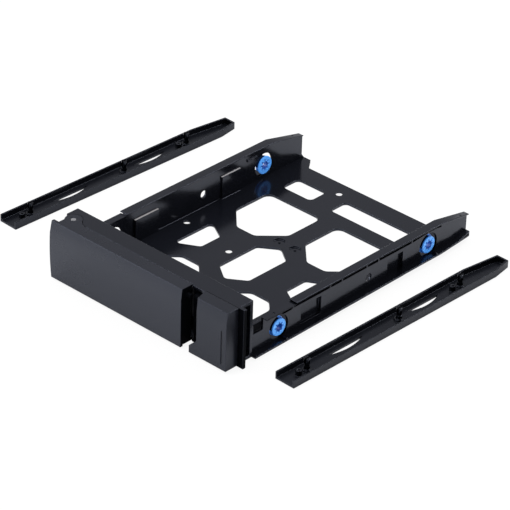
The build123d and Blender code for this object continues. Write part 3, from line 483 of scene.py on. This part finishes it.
def merged_copy(node):
    """A copy of a CAD node's mesh with its loose triangles merged and its flat faces joined."""
    work = bmesh.new()
    work.from_mesh(NODES[node].data)
    bmesh.ops.remove_doubles(work, verts=work.verts, dist=SAME_PLACE)
    bmesh.ops.dissolve_limit(work, angle_limit=SAME_PLANE, verts=work.verts, edges=work.edges,
                             use_dissolve_boundaries=False)
    work.verts.index_update()
    work.edges.index_update()
    work.faces.index_update()
    return work


def room_beside(edge, face):
    """How far the face reaches from the edge's line, at its farthest corner."""
    start, end = (corner.co for corner in edge.verts)
    along = (end - start).normalized()
    return max((corner.co - start).cross(along).length for corner in face.verts)


def edges_to_ease(base, width):
    """The numbers of the sharp edges that have room for an eased strip on both their faces."""
    return [edge.index for edge in base.edges
            if len(edge.link_faces) == 2 and edge.calc_face_angle(0.0) > EASED_OVER
            and min(room_beside(edge, face) for face in edge.link_faces) > ROOM * width]


def crossings(loop):
    """The points where a flat closed outline (rows of two numbers) crosses itself.

    Sides i and j start at a and run along r; they meet where a_i + t r_i = a_j + u r_j with t and
    u both between 0 and 1, and t = (d x r_j) / (r_i x r_j) with d = a_j - a_i."""
    r = np.roll(loop, -1, 0) - loop
    d = loop[None] - loop[:, None]

    def cross(p, q):
        return p[..., 0] * q[..., 1] - p[..., 1] * q[..., 0]

    under = cross(r[:, None], r[None])
    under = np.where(under == 0, np.inf, under)
    t, u = cross(d, r[None]) / under, cross(d, r[:, None]) / under
    inner = [(share > END_SHARE) & (share < 1 - END_SHARE) for share in (t, u)]
    i, j = np.nonzero(np.triu(inner[0] & inner[1]))
    return loop[i] + t[i, j][:, None] * r[i]


def folds(work):
    """The places where faces of the mesh fold over themselves.

    A folded face has a triangle that looks another way than the face. Its place is where the
    face's outline crosses itself, or else the triangle's corners."""
    places = []
    seen = set()
    for triple in work.calc_loop_triangles():
        face = triple[0].face
        if face.index in seen:
            continue
        a, b, c = (loop.vert.co for loop in triple)
        turned = (b - a).cross(c - a)
        if turned.length < 2 * LEAST_AREA or turned.normalized().dot(face.normal) > FOLD_COSINE:
            continue
        seen.add(face.index)
        corners = np.array([corner.co for corner in face.verts])
        side = face.verts[1].co - face.verts[0].co
        axes = np.array([side.normalized(), face.normal.cross(side).normalized()])
        found = crossings((corners - corners[0]) @ axes.T) @ axes + corners[0]
        places.append(found if len(found) else np.array([a, b, c]))
    return np.concatenate(places) if places else np.zeros((0, 3))


def distances(starts, ends, points):
    """The shortest distance from each side, given by its two ends, to any of the points."""
    along = ends - starts
    reach = np.einsum("ij,ij->i", along, along)[:, None]
    t = np.clip(np.einsum("ij,ikj->ik", along, points[None] - starts[:, None]) / reach, 0, 1)
    nearest = starts[:, None] + t[..., None] * along[:, None]
    return np.linalg.norm(nearest - points[None], axis=-1).min(1)


def mark_sharp(work, strips, width):
    """The mesh shaded smooth, except at its sharp edges.

    Along an eased strip an edge has to be sharper than elsewhere to stay so."""
    for edge in work.edges:
        along = edge.calc_length() > ALONG * width and any(f in strips for f in edge.link_faces)
        edge.smooth = edge.calc_face_angle(0.0) < (STRIP_SHARP_OVER if along else SHARP_OVER)
    for face in work.faces:
        face.smooth = True


def eased_mesh(node, width):
    """The CAD node's mesh with an eased strip along its edges.

    An edge stays as it is where its faces have no room for a strip, and where two strips would
    run into each other."""
    base = merged_copy(node)
    base.edges.ensure_lookup_table()
    chosen = edges_to_ease(base, width)
    for attempt in range(EASING_TRIES):
        if attempt:
            work.free()
        work = base.copy()
        work.edges.ensure_lookup_table()
        made = bmesh.ops.bevel(work, geom=[work.edges[index] for index in chosen], offset=width,
                               offset_type="OFFSET", segments=EASED_SEGMENTS, profile=0.5,
                               affect="EDGES", clamp_overlap=False, loop_slide=False)
        work.faces.index_update()
        work.normal_update()
        bad = folds(work)
        if not len(bad):
            break
        ends = np.array([[corner.co for corner in base.edges[index].verts] for index in chosen])
        reach = (FOLD_REACH + FOLD_REACH_STEP * attempt) * width
        clear = distances(ends[:, 0], ends[:, 1], bad) > reach
        chosen = [index for index, keep in zip(chosen, clear) if keep]
    mark_sharp(work, set(made["faces"]), width)
    mesh = bpy.data.meshes.new(MOULDINGS[node][0])
    work.to_mesh(mesh)
    work.free()
    base.free()
    return mesh


def in_box(places, side, low, high):
    """Which of the places, rows of X, Y, Z in millimetres, lie in the box.

    With the side "both", places in its mirror image across the middle lie in it too."""
    at = places.copy()
    if side == "both":
        at[:, 0] = np.abs(at[:, 0])
    return np.all((at > low) & (at < high), axis=1)


def lower_undercut(mesh):
    """The lower edge of the undercut beneath each flange moved straight down by UNDERCUT_DROP.

    It then stays in sight from above."""
    corners = np.empty(len(mesh.vertices) * 3, np.float32)
    mesh.vertices.foreach_get("co", corners)
    corners = corners.reshape(-1, 3)
    corners[in_box(corners / MM, *UNDERCUT_EDGE), 2] -= UNDERCUT_DROP * MM
    mesh.vertices.foreach_set("co", corners.reshape(-1))
    mesh.update()


def read_faces(mesh):
    """The middles of the faces in millimetres, and their normals."""
    middles = np.empty(len(mesh.polygons) * 3, np.float32)
    normals = np.empty_like(middles)
    mesh.polygons.foreach_get("center", middles)
    mesh.polygons.foreach_get("normal", normals)
    return middles.reshape(-1, 3) / MM, normals.reshape(-1, 3)


def faces_within(mesh, boxes):
    """Which faces of the mesh have their middle in one of the boxes and look its way."""
    middles, normals = read_faces(mesh)
    found = np.zeros(len(middles), bool)
    for side, low, high, way in boxes:
        inside = in_box(middles, side, low, high)
        if way:
            inside &= normals @ np.array(way, float) > FACING_COSINE
        found |= inside
    return found


def strip_knobs(mesh):
    """Which faces belong to a strip's pins and posts: those above its floor and near its middle.

    The strip's long axis is the first principal direction of its face middles, weighted by
    area, and the distance from the middle line is taken along the second."""
    middles, normals = read_faces(mesh)
    area = np.empty(len(mesh.polygons), np.float32)
    mesh.polygons.foreach_get("area", area)
    flat = middles[:, :2] - np.average(middles[:, :2], axis=0, weights=area)
    spread = (flat * area[:, None]).T @ flat
    across = np.linalg.eigh(spread)[1][:, 0]
    return (middles[:, 2] > STRIP_FLOOR) & (np.abs(flat @ across) < STRIP_KNOBS_WITHIN)


def add_finish(mesh, material, chosen):
    """The chosen faces given one more material."""
    index = np.empty(len(mesh.polygons), np.int32)
    mesh.polygons.foreach_get("material_index", index)
    index[chosen] = len(mesh.materials)
    mesh.materials.append(material)
    mesh.polygons.foreach_set("material_index", index)


def eased_moulding(node, material):
    """The moulding with its sharp edges eased, standing for its CAD node."""
    name, body, slot = MOULDINGS[node]
    mesh = eased_mesh(node, bpy.context.scene.caddy_sizes.edge_ease)
    if node == "tray_body":
        lower_undercut(mesh)
    piece = place_piece(name, mesh, material, body, node)
    # Painted shade on faces deep in gaps and undercuts, and a painted highlight on the pads' tops.
    for places, other in ((SHADED, "deep_set_plastic"), (PAD_TOP_HIGHLIGHTS, "rubbed_plastic")):
        if node in places:
            add_finish(mesh, finish(other), faces_within(mesh, places[node]))
    even = piece.modifiers.new("even_faces", "WEIGHTED_NORMAL")
    even.mode = "FACE_AREA"
    even.keep_sharp = True
    return piece


def rounded_loop(corners, cut, steps):
    """A closed outline with eased corners.

    Each corner p is a quadratic curve from a point on the side before it to one on the side after
    it, both cut away from p: (1-t)^2 a + 2t(1-t) p + t^2 b."""
    p = np.asarray(corners, float)
    cut = np.asarray(cut, float)[:, None]
    before, after = np.roll(p, 1, 0) - p, np.roll(p, -1, 0) - p
    a = p + cut * before / np.linalg.norm(before, axis=1)[:, None]
    b = p + cut * after / np.linalg.norm(after, axis=1)[:, None]
    t = np.linspace(0, 1, steps)[:, None]
    curve = (1 - t) ** 2 * a[:, None] + 2 * t * (1 - t) * p[:, None] + t ** 2 * b[:, None]
    return curve.reshape(-1, 2)


def washer_outline(radius, half):
    """A washer's closed outline, rows of radius and height along X, with points on its faces."""
    sizes = bpy.context.scene.caddy_sizes
    bore, neck, outer = sizes.washer_bore, sizes.washer_neck, sizes.washer_outer
    inner = half - sizes.washer_skin
    corners = [(bore, -half), (radius, -half), (radius, -inner), (neck, -inner),
               (neck, inner), (outer, inner), (outer, half), (bore, half)]
    cuts = [BORE_CUT, RIM_CUT, BACK_CUT, NECK_CUT, NECK_CUT, BACK_CUT, RIM_CUT, BORE_CUT]
    loop = rounded_loop(corners, cuts, CORNER_POINTS)
    first, last = CORNER_POINTS, CORNER_POINTS * (len(corners) - 1)
    across = np.linspace(*FACE_SPAN, FACE_POINTS)[:, None]
    low_face = loop[first - 1] * (1 - across) + loop[first] * across
    high_face = loop[last - 1] * (1 - across) + loop[last] * across
    return np.concatenate([loop[:first], low_face, loop[first:last], high_face, loop[last:]])


def washer_mesh(name, low, high):
    """A damping washer as an eased outline turned about the X axis.

    Its outward disc is a little smaller than its inward one. On each face the notches run out
    from the bore. They lower the surface by their depth times a soft step of the distance across
    the notch, which is the radius times the sine of the angle to the nearest notch line. The
    painted shade's value is 1 in the bore, near 1 in the notches and at the neck, and 0 on the
    faces."""
    sizes = bpy.context.scene.caddy_sizes
    bore, skin = sizes.washer_bore, sizes.washer_skin
    centre = (np.array(low) + np.array(high)) / 2
    radius, half = (high[1] - low[1]) / 2, (high[0] - low[0]) / 2
    outward = math.copysign(1.0, centre[0])
    loop = washer_outline(radius, half)
    r, x = loop[:, :1], loop[:, 1:]
    turn = np.linspace(0, 2 * math.pi, TURN_POINTS, endpoint=False)
    pitch = 2 * math.pi / NOTCHES
    nearest = (turn + pitch / 2) % pitch - pitch / 2
    off = r * np.abs(np.sin(nearest))[None, :]
    groove = 1 - np.clip((off - NOTCH_FLOOR) / NOTCH_SIDE, 0, 1)
    groove = groove * groove * (3 - 2 * groove)
    disc = np.where(x > 0, sizes.washer_outer, radius)
    groove = groove * np.clip((NOTCH_END * disc - r) / (NOTCH_FADES * disc), 0, 1)
    near_face = np.clip((np.abs(x) - (half - skin)) / skin, 0, 1)
    deepened = np.clip((r - bore - NOTCH_START) / NOTCH_DEEPENS, 0, 1)
    drop = sizes.washer_notch * groove * near_face * deepened
    points = np.stack([centre[0] + outward * (x - np.sign(x) * drop),
                       centre[1] + r * np.cos(turn), centre[2] + r * np.sin(turn)], -1)
    mesh = grid_mesh(name, points, True)
    mesh.polygons.foreach_set("use_smooth", np.ones(len(mesh.polygons), dtype=bool))
    # Painted shade: the ring round the bore, the notches and the neck darken the rubber's colour
    # and glow.
    in_ring = np.clip((bore + RING_WIDTH - r) / RING_FADES, 0, 1)
    at_neck = (1 - near_face) * NECK_SHADE
    level = np.clip(np.maximum(groove * near_face * NOTCH_SHADE, np.maximum(in_ring, at_neck)), 0, 1)
    sunk = mesh.attributes.new("sunk", "FLOAT", "POINT")
    sunk.data.foreach_set("value", level.reshape(-1).astype(np.float32))
    return mesh


def floor_material():
    """A pale matt floor, mixed with plain white where the camera or a reflection sees it.

    The background is then white, and the matt share still shows the object's shadow."""
    material = bpy.data.materials.new("studio_floor")
    material.use_nodes = True
    tree = material.node_tree
    tree.nodes.clear()
    out = add_node(tree, "ShaderNodeOutputMaterial")
    colour = (*bpy.context.scene.caddy_colours.floor, 1.0)
    matt = add_node(tree, "ShaderNodeBsdfDiffuse", {"Color": colour})
    white = add_node(tree, "ShaderNodeEmission", {"Color": WHITE})
    path = add_node(tree, "ShaderNodeLightPath")
    to_camera = add_node(tree, "ShaderNodeMath", {1: WHITE_TO_CAMERA}, operation="MULTIPLY")
    to_gloss = add_node(tree, "ShaderNodeMath", {1: WHITE_TO_GLOSS}, operation="MULTIPLY")
    share = add_node(tree, "ShaderNodeMath", operation="MAXIMUM")
    mix = add_node(tree, "ShaderNodeMixShader")
    link = tree.links.new
    link(path.outputs["Is Camera Ray"], to_camera.inputs[0])
    link(path.outputs["Is Glossy Ray"], to_gloss.inputs[0])
    link(to_camera.outputs[0], share.inputs[0])
    link(to_gloss.outputs[0], share.inputs[1])
    link(share.outputs[0], mix.inputs[0])
    link(matt.outputs[0], mix.inputs[1])
    link(white.outputs[0], mix.inputs[2])
    link(mix.outputs[0], out.inputs["Surface"])
    return material


def studio_floor():
    """The flat square floor, a grid of X and Y at one height, just below the caddy."""
    half = bpy.context.scene.caddy_sizes.floor_span / 2
    line = np.linspace(-half, half, FLOOR_LINES)
    y, x = np.meshgrid(line, line, indexing="ij")
    mesh = grid_mesh("studio_floor", np.stack([x, y, np.full_like(x, -FLOOR_DROP)], -1), False)
    mesh.materials.append(floor_material())
    floor = bpy.data.objects.new("studio_floor", mesh)
    bpy.context.scene.collection.objects.link(floor)


def studio_world():
    """White to the camera; to light and reflections a surround that is palest at the horizon."""
    world = bpy.data.worlds.new("studio_surround")
    bpy.context.scene.world = world
    world.use_nodes = True
    tree = world.node_tree
    tree.nodes.clear()
    out = add_node(tree, "ShaderNodeOutputWorld")
    place = add_node(tree, "ShaderNodeTexCoord")
    split = add_node(tree, "ShaderNodeSeparateXYZ")
    ramp = add_node(tree, "ShaderNodeValToRGB")
    stops = ramp.color_ramp.elements
    for position, level, blue in SURROUND[1:-1]:
        stops.new(position)
    for stop, (position, level, blue) in zip(stops, SURROUND):
        stop.position = position
        stop.color = (level, level, level * blue, 1.0)
    surround = add_node(tree, "ShaderNodeBackground")
    plain = add_node(tree, "ShaderNodeBackground", {"Color": WHITE})
    path = add_node(tree, "ShaderNodeLightPath")
    mix = add_node(tree, "ShaderNodeMixShader")
    link = tree.links.new
    link(place.outputs["Generated"], split.inputs[0])
    link(split.outputs["Z"], ramp.inputs["Fac"])
    link(ramp.outputs["Color"], surround.inputs["Color"])
    link(path.outputs["Is Camera Ray"], mix.inputs[0])
    link(surround.outputs[0], mix.inputs[1])
    link(plain.outputs[0], mix.inputs[2])
    link(mix.outputs[0], out.inputs["Surface"])


def soft_lamp(name, place, aim, size, power):
    """A square area lamp at place that faces aim."""
    data = bpy.data.lights.new(name, "AREA")
    data.shape = "SQUARE"
    data.size = size
    data.energy = power
    lamp = bpy.data.objects.new(name, data)
    bpy.context.scene.collection.objects.link(lamp)
    lamp.location = place
    lamp.rotation_mode = "QUATERNION"
    lamp.rotation_quaternion = (Vector(aim) - Vector(place)).to_track_quat("-Z", "Y")


def studio_camera():
    """The camera, which looks along its azimuth (0 is +Y, 90 is -X), down by its elevation.

    It is then turned about that line by its roll."""
    azimuth, elevation = math.radians(CAMERA_AZIMUTH), math.radians(CAMERA_ELEVATION)
    roll = math.radians(CAMERA_ROLL)
    forward = Vector((-math.sin(azimuth) * math.cos(elevation),
                      math.cos(azimuth) * math.cos(elevation), -math.sin(elevation)))
    level = Vector((math.cos(azimuth), math.sin(azimuth), 0.0))
    upright = level.cross(forward)
    right = level * math.cos(roll) + upright * math.sin(roll)
    up = upright * math.cos(roll) - level * math.sin(roll)
    data = bpy.data.cameras.new("photo_camera")
    data.lens = CAMERA_LENS
    data.sensor_width = CAMERA_SENSOR
    data.clip_start, data.clip_end = CAMERA_SEES
    camera = bpy.data.objects.new("photo_camera", data)
    bpy.context.scene.collection.objects.link(camera)
    x, y, z = CAMERA_PLACE
    camera.matrix_world = Matrix(((right.x, up.x, -forward.x, x), (right.y, up.y, -forward.y, y),
                                  (right.z, up.z, -forward.z, z), (0, 0, 0, 1)))
    bpy.context.scene.camera = camera


class CADDY_OT_tray(bpy.types.Operator):
    """Make the tray with its walls, and the frame and block cover at its front."""

    bl_idname = "caddy.make_tray"
    bl_label = "Tray and frame"

    def execute(self, context):
        eased_moulding("tray_body", finish("tray_plastic"))
        eased_moulding("front_frame", finish("tray_plastic"))
        eased_moulding("block_cover", finish("block_plastic"))
        return {"FINISHED"}


class CADDY_OT_lever(bpy.types.Operator):
    """Make the handle lever."""

    bl_idname = "caddy.make_lever"
    bl_label = "Handle lever"

    def execute(self, context):
        eased_moulding("handle_lever", finish("face_plastic"))
        return {"FINISHED"}


class CADDY_OT_strips(bpy.types.Operator):
    """Make the two loose fastening strips."""

    bl_idname = "caddy.make_strips"
    bl_label = "Fastening strips"

    def execute(self, context):
        for side in ("left", "right"):
            piece = eased_moulding("fastening_strip_" + side, finish("strip_satin"))
            # The pins and posts get a glossier copy of the strip plastic whose darker colour is
            # painted shade.
            add_finish(piece.data, finish("strip_knob_plastic"), strip_knobs(piece.data))
        return {"FINISHED"}


class CADDY_OT_washers(bpy.types.Operator):
    """Make the four rubber damping washers."""

    bl_idname = "caddy.make_washers"
    bl_label = "Damping washers"

    def execute(self, context):
        for node in WASHERS:
            mesh = washer_mesh(node + "_rubber", *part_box(node))
            place_piece(node + "_rubber", mesh, rubber_finish(), "tray", node)
        return {"FINISHED"}


class CADDY_OT_fittings(bpy.types.Operator):
    """Finish the pivot pin, the frame's screws and the light guide."""

    bl_idname = "caddy.finish_fittings"
    bl_label = "Pin, screws and light guide"

    def execute(self, context):
        for node, name in (("pivot_pin", "turned_steel"), ("frame_screws", "turned_steel"),
                           ("light_pipe", "light_guide_clear")):
            shown = NODES[node]
            shown.data.materials.clear()
            shown.data.materials.append(finish(name))
        return {"FINISHED"}


class CADDY_OT_stage(bpy.types.Operator):
    """Make the pale floor, the studio light and the camera."""

    bl_idname = "caddy.make_stage"
    bl_label = "Studio"

    def execute(self, context):
        studio_floor()
        studio_world()
        for lamp in SOFTBOXES:
            soft_lamp(*lamp)
        studio_camera()
        context.scene.view_settings.view_transform = "Standard"
        return {"FINISHED"}


class CADDY_PT_panel(bpy.types.Panel):
    """Lists the sizes, colours and pieces of the drive caddy."""

    bl_idname = "CADDY_PT_panel"
    bl_label = "Drive Caddy"
    bl_space_type = "VIEW_3D"
    bl_region_type = "UI"
    bl_category = "Drive Caddy"

    def draw(self, context):
        for group in (context.scene.caddy_sizes, context.scene.caddy_colours):
            box = self.layout.box()
            for key in group.__annotations__:
                box.prop(group, key)
        for operator in PIECE_OPERATORS:
            self.layout.operator(operator.bl_idname)


PIECE_OPERATORS = (CADDY_OT_tray, CADDY_OT_lever, CADDY_OT_strips, CADDY_OT_washers,
                   CADDY_OT_fittings, CADDY_OT_stage)
CLASSES = (CaddySizes, CaddyColours, *PIECE_OPERATORS, CADDY_PT_panel)


def register():
    for each in CLASSES:
        bpy.utils.register_class(each)
    bpy.types.Scene.caddy_sizes = bpy.props.PointerProperty(type=CaddySizes)
    bpy.types.Scene.caddy_colours = bpy.props.PointerProperty(type=CaddyColours)


def unregister():
    del bpy.types.Scene.caddy_colours
    del bpy.types.Scene.caddy_sizes
    for each in reversed(CLASSES):
        bpy.utils.unregister_class(each)


def main():
    register()
    bpy.ops.caddy.make_tray()
    bpy.ops.caddy.make_lever()
    bpy.ops.caddy.make_strips()
    bpy.ops.caddy.make_washers()
    bpy.ops.caddy.finish_fittings()
    bpy.ops.caddy.make_stage()


if __name__ == "__main__":
    main()
